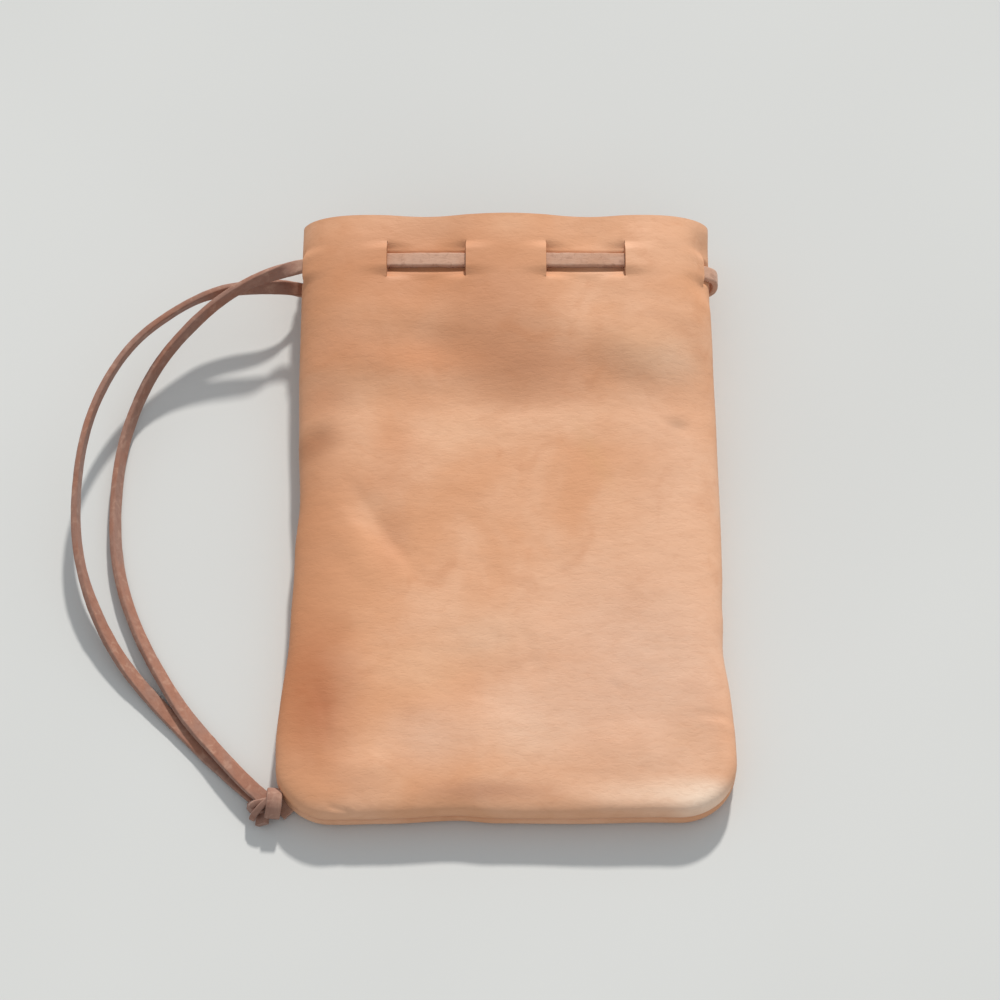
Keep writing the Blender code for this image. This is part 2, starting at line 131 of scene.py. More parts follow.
# How the flat thong is turned along each free end: (share of the way, degrees from standing on edge
# to the camera)
FRONT_END_TURN = [
    (0.0, 66), (0.05, 44), (0.1, 26), (0.2, 28), (0.42, 26), (0.58, 26), (0.72, 32), (0.84, 50), (1.0, 66),
]
BACK_END_TURN = [
    (0.0, 72), (0.05, 64), (0.1, 44), (0.17, 10), (0.4, 8), (0.58, 12), (0.7, 34), (0.84, 62), (1.0, 66),
]

# The thong's woven line. Its front stub is drawn up a little, which fades over STUB_SHIFT_STEPS points.
WOVEN_STEPS = 140
WOVEN_EASING = 6
STUB_STEPS = 4
FRONT_STUB_SHIFT = Vector((0.0, 0.0018, 0.0006))
STUB_SHIFT_STEPS = 16

# The free ends. Each starts END_LEAD points inside the woven line, where the leather covers it, and has
# turned to its own angle END_TURN_STEPS points after its stub. The routes are the part's, chosen for
# round tubes whose middle rests at TUBE_REST millimetres.
END_LEAD = 8
STUB_STRAIGHT = 0.7
END_TURN_STEPS = 14
TUBE_REST = 1.7
STRAND_SPACING = 0.0010
STRAND_EASING = 60
END_EASING = 10

# How uneven the cut thong is: (waves a metre, height) on its faces, and its change of width
STRIP_ROUGHNESS = ((700.0, 0.00005), (260.0, 0.00007))
STRIP_SWELL = 0.05
STRIP_SWELL_RATE = 120

# The strip's mesh: steps across a broad face, the pattern's units a metre and the least sharp angle
STRIP_FACE_STEPS = 6
STRIP_UNITS = 100
SHARP_ANGLE = math.radians(60)

# Shape exponents and fineness of the meshes
SHOULDER = 2.7
RISE = 1.6
SECTION_SAMPLES = 220
WINDOW_STEPS = 28
EDGE_STEPS = 10
ROW_STEP = 0.0010
SLIT_ROW_STEP = 0.0004
BODY_ROW_STEP = 0.0016
ROLL_ROWS = 14

# How far the leather stands off the thong's line, to pass over or under it
STANDOFF = LEATHER / 2 + CLEARANCE + THONG_THICKNESS / 2
BOTTOM_Y = -POUCH_LENGTH / 2
RIM_Y = POUCH_LENGTH / 2
SLIT_Y = RIM_Y - SLIT_FROM_RIM

FRONT, BACK = 1, -1
LEFT, RIGHT = -1, 1

# How the real outline wanders from the even one, in millimetres: (along, towards +X or +Y)
LEFT_DRIFT = [
    (-104, 1.9), (-101, 1.2), (-96, 0.6), (-90, 0.4), (-78, 0.0), (-66, 0.2), (-50, 0.5), (-33, -0.2),
    (-14, 0.0), (4, 1.2), (26, 0.2), (50, -0.3), (74, 0.0),
]
RIGHT_DRIFT = [
    (-105, -0.2), (-80, -0.4), (-64, -0.5), (-51, -1.0), (-36, 0.5), (-22, 1.4), (-6, 1.4), (30, 1.0),
    (56, 0.5), (74, 0.0),
]
BOTTOM_DRIFT = [
    (-74, 0.0), (-52, -0.3), (-38, 0.0), (-15, 1.1), (-3, 0.2), (20, 0.0), (45, 0.6), (74, 0.3),
]
BOTTOM_DRIFT_REACH = 0.014

# Where the roll tightens: along the right-hand end of the bottom edge, by ROLL_TIGHT of its width
ROLL_TIGHT = 0.55
ROLL_EASE = 0.030
ROLL_EASE_X = 0.008
ROLL_EASE_Y = -0.066

# Creases of the front panel, in millimetres: (from x, y, to x, y, half width, height). The ends fade
# over a share of the length, from a share of the height.
CREASES = [
    (-54.0, 11.0, -28.5, -24.5, 3.6, -0.20),
    (-59.0, 3.0, -30.0, -27.5, 3.4, 0.16),
    (60.0, -71.8, 72.5, -73.6, 1.5, -0.32),
    (60.0, -74.4, 72.5, -76.4, 2.2, 0.18),
    (33.0, -61.0, 37.5, -64.2, 1.6, -0.24),
    (-57.0, -101.6, -48.0, -103.6, 1.6, -0.30),
    (50.0, 30.5, 60.0, 26.5, 2.4, -0.26),
    (-60.0, -62.0, -55.5, -84.0, 2.6, -0.22),
    (-66.5, 26.5, -60.5, 24.0, 2.6, -0.08),
    (4.0, -40.0, 12.0, -64.0, 4.0, -0.16),
]
CREASE_FADE = 0.35
CREASE_TIP = 0.25

# The hide's own swells: (waves a metre, height in millimetres). They calm down about the slits.
SWELL_SCALES = ((34.0, 0.34), (78.0, 0.16), (190.0, 0.045))
SWELL_MARGIN = 0.006
SWELL_ON_BACK = 0.5
CALM_SHARE = 0.45
CALM_START = 0.062
CALM_REACH = 0.014

# Puckers beside the seam, up both sides and along the straight stretch of the bottom edge
PUCKER_PITCH = 0.0036
PUCKER_DEPTH = 0.00010
PUCKER_REACH = 0.0050
PUCKER_RATE = 60
PUCKER_BOTTOM = 0.02
PUCKER_BOTTOM_HALF = 0.055
PUCKER_TOP = 0.07
PUCKER_FADE = 0.02

# A slit's two lips: they part a little at its ends and overlap from LIP_REACH on towards the thong
LIP_GAPE = 0.00014
LIP_TAPER = 0.0020
LIP_OVERLAP = 0.00024
LIP_REACH = 0.0067

# The wave beside the thong, measured from the middle of the slits. BAND_END is where the leather has
# left the thong. In the front's windows that show the thong, the leather first comes to a level of its
# own above and below it: (level at the slits, level between them) as shares of STANDOFF, (end, start) of
# the way to that level and (end, start) of the dip behind the thong.
BAND_END = 0.0052
ABOVE_THONG = (-0.20, -0.50), (0.0076, 0.0040), (0.0038, 0.0024)
BELOW_THONG = (-0.34, -0.52), (0.0078, 0.0050), (0.0050, 0.0028)

# The hollow round the front panel's last slit, where the thong turns over the right-hand seam
SLIT_HOLLOW = 0.0020
SLIT_HOLLOW_SPREAD = 0.14
SLIT_HOLLOW_CORE = 0.0060
SLIT_HOLLOW_REACH = 0.0160

# Seam thread and the allowance that it holds. A stitch lies flat over a share of its length and passes
# through at a share of its height.
THREAD_RADIUS = 0.00028
STITCH_LENGTH = 0.0034
STITCH_FLAT = 0.3, 0.8
STITCH_THROUGH = 0.8
STITCH_INSET = 0.0011
STITCH_FROM_RIM = 0.002
SEAM_STEP = 0.0010
ALLOWANCE_WAVE = 0.00025
ALLOWANCE_RATE = 90

# The cut edges' worn corners
WORN_EDGE = 0.00006
WORN_ANGLE = math.radians(55)

# Camera and light
CAMERA_TILT = math.radians(27)
SIGHT = Vector((0.0, -math.sin(CAMERA_TILT), math.cos(CAMERA_TILT)))
CAMERA_DISTANCE = 1.0
CAMERA_LENS = 108.0
CAMERA_AIM = Vector((-0.0020, 0.0110, 0.0))
SUN_HEADING = Vector((-0.14, -0.82, -0.585))
SUN_STRENGTH = 2.86
SUN_ANGLE = math.radians(4)
SUN_COLOUR = (1.0, 0.965, 0.92)
AMBIENT = (0.93, 0.965, 1.0)
AMBIENT_STRENGTH = 0.545

# Colours, as sRGB
FLOOR = (212, 213, 211)
TAN_DEEP = (206, 143, 102)
TAN = (222, 162, 121)
TAN_PALE = (232, 180, 144)


def smooth(t):
    t = min(max(t, 0.0), 1.0)
    return t * t * (3.0 - 2.0 * t)


def mix(low, high, share):
    return low + (high - low) * share


def rise(y):
    """0 at the bottom edge, 1 at the rim."""
    return max((y - BOTTOM_Y) / POUCH_LENGTH, 0.0) ** RISE


def half_width(y):
    """Half the pouch's width at y, before its bottom corners are rounded."""
    flare = smooth((WAIST_START - y) / (WAIST_START - WAIST_END))
    return mix(MOUTH_WIDTH, BOTTOM_WIDTH, flare) / 2


def corner_radius(x):
    return LEFT_CORNER_RADIUS if x < 0 else RIGHT_CORNER_RADIUS


def inset(x, y):
    """How far a point of the leather's middle surface lies inside its outline."""
    side = half_width(y) - LEATHER / 2 - abs(x)
    end = y - BOTTOM_Y - LEATHER / 2
    radius = corner_radius(x) - LEATHER / 2
    if side < radius and end < radius:
        return radius - math.hypot(radius - side, radius - end)
    return min(side, end)


def row_reach(flank, y):
    """How far the row at y reaches out to the outline of the leather's middle surface."""
    radius = corner_radius(flank) - LEATHER / 2
    below = max(radius - (y - BOTTOM_Y - LEATHER / 2), 0.0)
    return half_width(y) - LEATHER / 2 - (radius - math.sqrt(max(radius**2 - below**2, 0.0)))


def outline_normal(x, y):
    """The direction straight out of the outline beside (x, y)."""
    radius = corner_radius(x)
    centre = Vector((math.copysign(half_width(y) - radius, x), BOTTOM_Y + radius))
    if y >= centre.y:
        return Vector((math.copysign(1.0, x), 0.0))
    if abs(x) <= abs(centre.x):
        return Vector((0.0, -1.0))
    return (Vector((x, y)) - centre).normalized()


def gather(y):
    """How strongly the thong's waves show at y: fully beside the slits, fading down the pouch."""
    above, below = y - (SLIT_Y + SLIT_LENGTH / 2), (SLIT_Y - SLIT_LENGTH / 2) - y
    if above > 0:
        return mix(1.0, RIM_WAVE, smooth(above / (SLIT_FROM_RIM - SLIT_LENGTH / 2)))
    return 1.0 - smooth(below / GATHER_REACH)


def thong_band(y, end, inner=THONG_WIDTH / 2 + CLEARANCE):
    """1 up to inner from the middle of the slits, where the thong lies, and 0 from end on."""
    return 1.0 - smooth((abs(y - SLIT_Y) - inner) / (end - inner))


def face_rise(y):
    """The front face's climb: steady up the body, with a steeper step below the gathers."""
    step = smooth((y - STEP_END) / (STEP_START - STEP_END))
    return mix((y - BOTTOM_Y) / POUCH_LENGTH, step, STEP_SHARE)


def seam_height(y):
    return mix(BOTTOM_SEAM_HEIGHT, MOUTH_SEAM_HEIGHT, rise(y))


def face_height(side, y):
    """Height of the leather's middle surface on the flat of the panel."""
    if side == FRONT:
        return mix(BOTTOM_HEIGHT, MOUTH_HEIGHT, face_rise(y)) - LEATHER / 2
    return LEATHER / 2 + STANDOFF * gather(y)


def allowance_height(side, y):
    return seam_height(y) + side * (CLEARANCE + LEATHER) / 2


def edge_height(side, y):
    return allowance_height(side, y) + side * SEAM_TUCK


def roll_width(side, y):
    if side == FRONT:
        return mix(FRONT_ROLL, half_width(y) - LEATHER / 2, rise(y))
    return mix(BACK_ROLL, BACK_MOUTH_ROLL, rise(y))


def surface_height(side, x, y):
    """The smooth panel, rounding over from its face to its edge like a turned seam."""
    tight = smooth((x - ROLL_EASE_X) / ROLL_EASE) * smooth((ROLL_EASE_Y - y) / ROLL_EASE)
    depth = min(max(inset(x, y) / roll_width(side, y) / (1.0 - ROLL_TIGHT * tight), 0.0), 1.0)
    share = (1.0 - (1.0 - depth) ** SHOULDER) ** (1.0 / SHOULDER)
    return mix(edge_height(side, y), face_height(side, y), share)


def relief(side, x, y):
    """How far the panel's soft hollows and swells move it outwards at (x, y)."""
    if side == BACK:
        return 0.0
    total = 0.0
    for centre_x, centre_y, length, breadth, heading, height in FRONT_RELIEF:
        across, up = x - centre_x / 1000, y - centre_y / 1000
        turn = math.radians(heading)
        along = (across * math.cos(turn) + up * math.sin(turn)) / length * 1000
        aside = (up * math.cos(turn) - across * math.sin(turn)) / breadth * 1000
        total += height / 1000 * smooth(1.0 - math.hypot(along, aside))
    return total * smooth(inset(x, y) / RELIEF_MARGIN)


class Section:
    """One panel's section at y. Each half is measured along the leather, from the middle to its edge."""

    def __init__(self, side, y):
        self.side = side
        self.halves = {}
        quarter = math.pi / 2 / SECTION_SAMPLES
        for flank in (LEFT, RIGHT):
            reach = row_reach(flank, y) * flank
            across = [reach * math.sin(i * quarter) for i in range(SECTION_SAMPLES + 1)]
            points = [Vector((x, surface_height(side, x, y))) for x in across]
            along = [0.0]
            for a, b in zip(points, points[1:]):
                along.append(along[-1] + (b - a).length)
            self.halves[flank] = points, along
        self.length = self.halves[RIGHT][1][-1]

    def at(self, fraction):
        """(point, tangent, normal) at a signed fraction of the half section on that side."""
        flank = LEFT if fraction < 0 else RIGHT
        points, along = self.halves[flank]
        target = min(abs(fraction), 1.0) * along[-1]
        i = min(max(bisect.bisect_left(along, target) - 1, 0), SECTION_SAMPLES - 1)
        a, b = points[i], points[i + 1]
        step = max(along[i + 1] - along[i], 1e-12)
        point = a.lerp(b, (target - along[i]) / step)
        tangent = (b - a).normalized() * flank
        normal = Vector((-tangent.y, tangent.x)) * self.side
        return point, tangent, normal


@functools.cache
def slit_fractions(side):
    """Where the slits lie, as signed fractions of the half section."""
    half = Section(side, SLIT_Y).length
    pitch = 2 * (half - SLIT_TO_SEAM) / (SLITS - 1)
    even = [(k - (SLITS - 1) / 2) * pitch / half for k in range(SLITS)]
    return [even[0], *(fraction * INNER_SLITS for fraction in even[1:-1]), even[-1]]


def rim_dip(side, y, fraction):
    """The front panel climbs towards its middle, which draws its rim and slits down there."""
    if side == BACK:
        return 0.0
    return RIM_DIP * rise(y) * (1.0 - abs(fraction) ** SHOULDER)


def window_lift(side, y, fraction, window, slits):
    """How far the leather stands out from the thong's line in one window between two slits.

    Even windows pass over the thong and odd ones behind it. The two beside the seams are window -1 and
    the last one.
    """
    band = thong_band(y, BAND_END)
    flush = SLIT_END_LEVEL * gather(y) if side == FRONT else 0.0
    if window in (-1, SLITS - 1):
        to_seam = (abs(fraction) - slits[-1]) / (1.0 - slits[-1])
        return STANDOFF * (flush * (1.0 - band) - band) * (1.0 - smooth(to_seam))
    middle = (slits[window] + slits[window + 1]) / 2
    swell = math.cos(math.pi * (fraction - middle) / (slits[window + 1] - slits[window]))
    if window % 2 == 0:
        band = thong_band(y, SLIT_LENGTH / 2)
        return STANDOFF * mix(gather(y) * swell + flush * (1.0 - swell), 1.0, band)
    free = flush - gather(y) * swell
    if side == BACK:
        return STANDOFF * mix(free, -1.0, band)
    levels, beside_reach, behind_reach = BELOW_THONG if y < SLIT_Y else ABOVE_THONG
    beside = mix(free, mix(*levels, swell), thong_band(y, *beside_reach))
    return STANDOFF * mix(beside, -1.0, thong_band(y, *behind_reach))


def slit_hollow(side, y, fraction):
    """How far the thong's pull round the right-hand seam draws the front leather in at its last slit."""
    if side == BACK or fraction <= 0:
        return 0.0
    last = slit_fractions(side)[-1]
    if fraction < last:
        share = smooth((fraction - last + SLIT_HOLLOW_SPREAD) / SLIT_HOLLOW_SPREAD)
    else:
        share = smooth((1.0 - fraction) / (1.0 - last))
    beside = SLIT_HOLLOW_REACH - abs(y - SLIT_Y)
    return SLIT_HOLLOW * share * smooth(beside / (SLIT_HOLLOW_REACH - SLIT_HOLLOW_CORE))


def between(stops, place):
    """The value at a place, eased from each (place, value) to the next and even past both ends."""
    for (a, low), (b, high) in zip(stops, stops[1:]):
        if place <= b:
            return mix(low, high, smooth((place - a) / (b - a)))
    return stops[-1][1]


def crease_lift(x, y):
    """The creases' height at (x, y): each one deepest along its middle and fading at its ends."""
    total = 0.0
    for x1, y1, x2, y2, half, height in CREASES:
        start, end = Vector((x1, y1)) / 1000, Vector((x2, y2)) / 1000
        run = end - start
        share = (Vector((x, y)) - start).dot(run) / run.length_squared
        beside = (Vector((x, y)) - start - run * min(max(share, 0.0), 1.0)).length * 1000
        if beside < half:
            ends = smooth(min(share, 1.0 - share) / CREASE_FADE + CREASE_TIP)
            total += height / 1000 * smooth(1.0 - beside / half) * ends
    return total


def leather_life(side, x, y):
    """The hide's own small swells, the creases and the puckers beside the seam."""
    depth = max(inset(x, y), 0.0)
    waves = (size * noise.noise(Vector((x * rate, y * rate, side * 7.0))) for rate, size in SWELL_SCALES)
    swell = sum(waves) / 1000 * smooth(depth / SWELL_MARGIN)
    if side == BACK:
        return -abs(swell) * SWELL_ON_BACK
    along = x if y < BOTTOM_Y + PUCKER_BOTTOM and abs(x) < PUCKER_BOTTOM_HALF else y
    wave = 0.5 + 0.5 * math.cos(2 * math.pi * along / PUCKER_PITCH)
    uneven = 0.6 + 0.7 * noise.noise(Vector((x * PUCKER_RATE, y * PUCKER_RATE, 3.0)))
    fade = smooth(1.0 - depth / PUCKER_REACH) * smooth((PUCKER_TOP - y) / PUCKER_FADE)
    lively = 1.0 - smooth((y - CALM_START) / CALM_REACH)
    return swell * mix(CALM_SHARE, 1.0, lively) - PUCKER_DEPTH * wave * uneven * fade + crease_lift(x, y)


def panel_columns(slits):
    """[(fraction, window to its left, window to its right)]: equal on plain columns."""
    stops = [-1.0, *slits, 1.0]
    columns = []
    for k, (a, b) in enumerate(zip(stops, stops[1:])):
        steps = EDGE_STEPS if k in (0, SLITS) else WINDOW_STEPS
        columns.append((a, max(k - 2, -1), k - 1))
        columns += [(mix(a, b, i / steps), k - 1, k - 1) for i in range(1, steps)]
    return [*columns, (1.0, SLITS - 1, SLITS - 1)]


def spread_rows(start, end, step):
    """Rows after start, up to and with end, about step apart."""
    count = max(round(abs(end - start) / step), 1)
    return [mix(start, end, i / count) for i in range(1, count + 1)]


def panel_rows(side):
    """The rows of the panel, from the rim to the bottom edge, closer where the leather turns."""
    slit_top, slit_end = SLIT_Y + SLIT_LENGTH / 2, SLIT_Y - SLIT_LENGTH / 2
    roll = roll_width(side, BOTTOM_Y)
    edge = BOTTOM_Y + LEATHER / 2
    rows = [RIM_Y]
    rows += spread_rows(RIM_Y, slit_top, ROW_STEP)
    rows += spread_rows(slit_top, slit_end, SLIT_ROW_STEP)
    rows += spread_rows(slit_end, STEP_START, ROW_STEP)
    rows += spread_rows(STEP_START, edge + roll, BODY_ROW_STEP)
    for i in range(1, ROLL_ROWS + 1):
        angle = math.pi / 2 * (1.0 - i / ROLL_ROWS)
        rows.append(edge + roll * (1.0 - math.cos(angle) ** (2.0 / SHOULDER)))
    return rows


def leather_point(section, y, fraction, lift, spread=0.0, alive=False):
    """The leather's place in the row at y, lifted off its smooth section and moved along it by spread."""
    point, tangent, normal = section.at(fraction)
    lift += relief(section.side, point.x, y) - slit_hollow(section.side, y, fraction)
    if alive:
        lift += leather_life(section.side, point.x, y)
    place = point + normal * lift + tangent * spread
    share = min(abs(point.x) / half_width(y), 1.0) ** 3
    x = place.x + between(LEFT_DRIFT if point.x < 0 else RIGHT_DRIFT, y * 1000) / 1000 * share
    down = y - rim_dip(section.side, y, fraction)
    near_edge = smooth(1.0 - (y - BOTTOM_Y) / BOTTOM_DRIFT_REACH)
    down += between(BOTTOM_DRIFT, x * 1000) / 1000 * near_edge
    return Vector((x, down, place.y))


def panel_grid(mesh, side):
    """The panel's middle surface as rows of vertices. A slit's two lips have vertices of their own."""
    slits = slit_fractions(side)
    columns = panel_columns(slits)
    grid = []
    for y in panel_rows(side):
        section = Section(side, y)
        in_slit = abs(y - SLIT_Y) < SLIT_LENGTH / 2 - CLEARANCE
        line = []
        for fraction, left, right in columns:
            if left != right and in_slit:
                beside = abs(y - SLIT_Y)
                spread = LIP_GAPE / 2 * smooth((SLIT_LENGTH / 2 - beside) / LIP_TAPER)
                spread -= LIP_OVERLAP * smooth((LIP_REACH - beside) / LIP_TAPER)
                lips = ((left, -spread), (right, spread))
            else:
                lips = ((right, 0.0),)
            pair = []
            for window, shift in lips:
                lift = window_lift(side, y, fraction, window, slits)
                pair.append(mesh.verts.new(leather_point(section, y, fraction, lift, shift, True)))
            line.append((pair[0], pair[-1]))
        grid.append(line)
    return grid


def add_allowance(mesh, side, grid):
    """The stitched line, drawn in behind the rolled edge, and the allowance turned in from it."""
    border = [line[0][0] for line in grid]
    border += [pair[0] for pair in grid[-1][1:]]
    border += [line[-1][0] for line in reversed(grid[:-1])]
    previous = border
    depths = (0.45 * SEAM_TUCK, SEAM_TUCK, SEAM_TUCK + SEAM_ALLOWANCE / 2, SEAM_TUCK + SEAM_ALLOWANCE)
    for depth in depths:
        share = math.sqrt(min(depth / SEAM_TUCK, 1.0))
        ring = []
        for vertex in border:
            x, y, z = vertex.co
            away = outline_normal(x, y) * depth
            flat = allowance_height(side, y)
            if depth > SEAM_TUCK:
                spot = Vector((x * ALLOWANCE_RATE, y * ALLOWANCE_RATE, depth * 10 * ALLOWANCE_RATE))
                flat += side * ALLOWANCE_WAVE * (1.0 + noise.noise(spot))
            ring.append(mesh.verts.new((x - away.x, y - away.y, mix(z, flat, share))))
        for i in range(len(border) - 1):
            quad = (previous[i], previous[i + 1], ring[i + 1], ring[i])
            mesh.faces.new(quad if side == BACK else quad[::-1])
        previous = ring


def add_mesh(name, mesh, *materials):
    data = bpy.data.meshes.new(name)
    mesh.to_mesh(data)
    mesh.free()
    for material in materials:
        data.materials.append(material)
    data.shade_smooth()
    item = bpy.data.objects.new(name, data)
    bpy.context.scene.collection.objects.link(item)
    return item


def make_panel(name, side, grain, flesh, cut):
    mesh = bmesh.new()
    grid = panel_grid(mesh, side)
    for upper, lower in zip(grid, grid[1:]):
        for k in range(len(upper) - 1):
            quad = (upper[k][1], lower[k][1], lower[k + 1][0], upper[k + 1][0])
            mesh.faces.new(quad if side == FRONT else quad[::-1])
    add_allowance(mesh, side, grid)
    panel = add_mesh(name, mesh, grain, flesh, cut)
    wall = panel.modifiers.new("Leather", "SOLIDIFY")
    wall.thickness = LEATHER
    wall.offset = 0.0
    wall.use_even_offset = True
    wall.use_rim = True
    wall.material_offset = 1
    wall.material_offset_rim = 2
    edge = panel.modifiers.new("Worn edge", "BEVEL")
    edge.width = WORN_EDGE
    edge.segments = 1
    edge.limit_method = "ANGLE"
    edge.angle_limit = WORN_ANGLE
    edge.harden_normals = True
    return panel


def thong_line(side, fractions, lifts):
    """[(place, width direction)] of the thong's middle along one panel, tilted as the panel is."""
    rows = (SLIT_Y - THONG_WIDTH / 2, SLIT_Y + THONG_WIDTH / 2)
    edges = [(Section(side, y), y) for y in rows]
    line = []
    for fraction, lift in zip(fractions, lifts):
        low, high = (leather_point(section, y, fraction, lift) for section, y in edges)
        line.append(((low + high) / 2, (high - low).normalized()))
    return line


def woven_line():
    """The thong's middle from its left-hand front stub, round the right-hand seam, to its back stub."""
    lines = []
    for side, stub_rise in ((FRONT, FRONT_STUB_RISE), (BACK, BACK_STUB_RISE)):
        slits = slit_fractions(side)
        half = Section(side, SLIT_Y).length
        inner = [mix(slits[0], slits[-1], i / WOVEN_STEPS) for i in range(WOVEN_STEPS + 1)]
        outer = [mix(slits[-1], 1.0, i / EDGE_STEPS) for i in range(1, EDGE_STEPS + 1)]
        loop = [(STANDOFF + LOOP_SLACK) * smooth(i / EDGE_STEPS) for i in range(1, EDGE_STEPS + 1)]
        stub = [slits[0] - STUB_LENGTH / half * (1.0 - i / STUB_STEPS) for i in range(STUB_STEPS)]
        rises = [stub_rise * smooth(1.0 - i / STUB_STEPS) for i in range(STUB_STEPS)]
        line = thong_line(side, [*stub, *inner, *outer], [*rises, *(0.0 for _ in inner), *loop])
        if side == FRONT:
            for i in range(STUB_SHIFT_STEPS):
                climb = smooth(1.0 - i / STUB_SHIFT_STEPS)
                line[i] = line[i][0] + FRONT_STUB_SHIFT * climb, line[i][1]
        lines.append(line)
    front, back = lines
    return eased(front + back[::-1], WOVEN_EASING)


def eased(line, rounds):
    """The line with its bends softened, its two ends left where they are."""
    for _ in range(rounds):
        inner = []
        for (a, wa), (b, wb), (c, wc) in zip(line, line[1:], line[2:]):
            inner.append(((a + b * 2 + c) / 4, (wa + wb * 2 + wc).normalized()))
        line = [line[0], *inner, line[-1]]
    return line


def strip_profile():
    """The thong's section, a rectangle with worn corners: (across, through) pairs all the way round."""
    points = []
    for sign_w, sign_t, first in ((1, 1, 0), (-1, 1, 90), (-1, -1, 180), (1, -1, 270)):
        across = sign_w * (THONG_WIDTH / 2 - THONG_CORNER)
        through = sign_t * (THONG_THICKNESS / 2 - THONG_CORNER)
        for step in range(4):
            angle = math.radians(first + 30 * step)
            out, up = THONG_CORNER * math.cos(angle), THONG_CORNER * math.sin(angle)
            points.append((across + out, through + up))
    profile = []
    for a, b in zip(points, points[1:] + points[:1]):
        steps = STRIP_FACE_STEPS if math.dist(a, b) > THONG_THICKNESS else 1
        profile += [(mix(a[0], b[0], i / steps), mix(a[1], b[1], i / steps)) for i in range(steps)]
    return profile


def make_strip(name, line, material, closed=False):
    """A flat strip swept along [(place, width direction)], with the slight unevenness of cut leather."""
    mesh = bmesh.new()
    along_layer = mesh.loops.layers.uv.new("Strip")
    profile = strip_profile()
    rings, travelled, last = [], [0.0], len(line) - 1
    for i, (place, width) in enumerate(line):
        before = line[i - 1 if closed else max(i - 1, 0)][0]
        after = line[(i + 1) % len(line) if closed else min(i + 1, last)][0]
        heading = (after - before).normalized()
        width = (width - heading * width.dot(heading)).normalized()
        normal = heading.cross(width).normalized()
        if i:
            travelled.append(travelled[-1] + (place - line[i - 1][0]).length)
        spot = Vector((travelled[-1] * STRIP_SWELL_RATE, len(line) * 0.37, 1.0))
        grow = 1.0 + STRIP_SWELL * noise.noise(spot)
        ring = []
        for a, b in profile:
            point = place + width * a * grow + normal * b
            rough = sum(height * noise.noise(point * rate) for rate, height in STRIP_ROUGHNESS)
            ring.append(mesh.verts.new(point + (width * a + normal * b).normalized() * rough))
        rings.append(ring)
    pairs = list(zip(rings, rings[1:])) + ([(rings[-1], rings[0])] if closed else [])
    count = len(profile)
    for k, (a, b) in enumerate(pairs):
        for i in range(count):
            j = (i + 1) % count
            face = mesh.faces.new((a[i], a[j], b[j], b[i]))
            marks = ((k, i), (k, i + 1), (k + 1, i + 1), (k + 1, i))
            for loop, (step, turn) in zip(face.loops, marks):
                loop[along_layer].uv = (travelled[min(step, last)] * STRIP_UNITS, turn / count)
    if not closed:
        mesh.faces.new(rings[0][::-1])
        mesh.faces.new(rings[-1])
    bmesh.ops.recalc_face_normals(mesh, faces=mesh.faces)
    strip = add_mesh(name, mesh, material)
    strip.data.set_sharp_from_angle(angle=SHARP_ANGLE)
    return strip


def smooth_route(points, spacing):
    """Points about spacing apart on a smooth curve through the route's own points."""
    stops = [points[0] * 2 - points[1], *points, points[-1] * 2 - points[-2]]
    route = [points[0]]
    for before, a, b, after in zip(stops, stops[1:], stops[2:], stops[3:]):
        steps = max(round((b - a).length / spacing), 1)
        for i in range(1, steps + 1):
            t = i / steps
            curve = a * 2 + (b - before) * t + (before * 2 - a * 5 + b * 4 - after) * t**2
            curve += (a * 3 - before - b * 3 + after) * t**3
            route.append(curve * 0.5)
    return route


def free_end_line(lead, chosen, turn):
    """[(place, width direction)] of a free end: out of its slit, then turned about its route."""
    (tip, tip_width), (slit, _) = lead[-1], lead[-2]
    heading = (tip - slit).normalized()
    start = [tip, tip + heading * STUB_LENGTH * STUB_STRAIGHT]
    route = smooth_route(start + [Vector(p) / 1000 for p in chosen], STRAND_SPACING)
    route = [place for place, _ in eased([(place, tip_width) for place in route], STRAND_EASING)]
    last = len(route) - 1
    line = list(lead[:-1])
    for i, place in enumerate(route):
        angle = math.radians(between(turn, i / last))
        ahead = (route[min(i + 1, last)] - route[max(i - 1, 0)]).normalized()
        edge = (SIGHT - ahead * SIGHT.dot(ahead)).normalized()
        width = edge * math.cos(angle) + ahead.cross(edge) * math.sin(angle)
        rest = THONG_WIDTH / 2 * abs(width.z) + THONG_THICKNESS / 2 * math.sqrt(1.0 - width.z**2)
        lifted = Vector((place.x, place.y, max(place.z - TUBE_REST / 1000, 0.0) + rest))
        start_share = smooth(i / END_TURN_STEPS)
        facing = tip_width if width.dot(tip_width) > 0 else -tip_width
        line.append((place.lerp(lifted, start_share), facing.lerp(width, start_share).normalized()))
    lead_facing = 1.0 if line[len(lead)][1].dot(tip_width) > 0 else -1.0
    line[:len(lead) - 1] = [(place, width * lead_facing) for place, width in lead[:-1]]
    return eased(line, END_EASING)


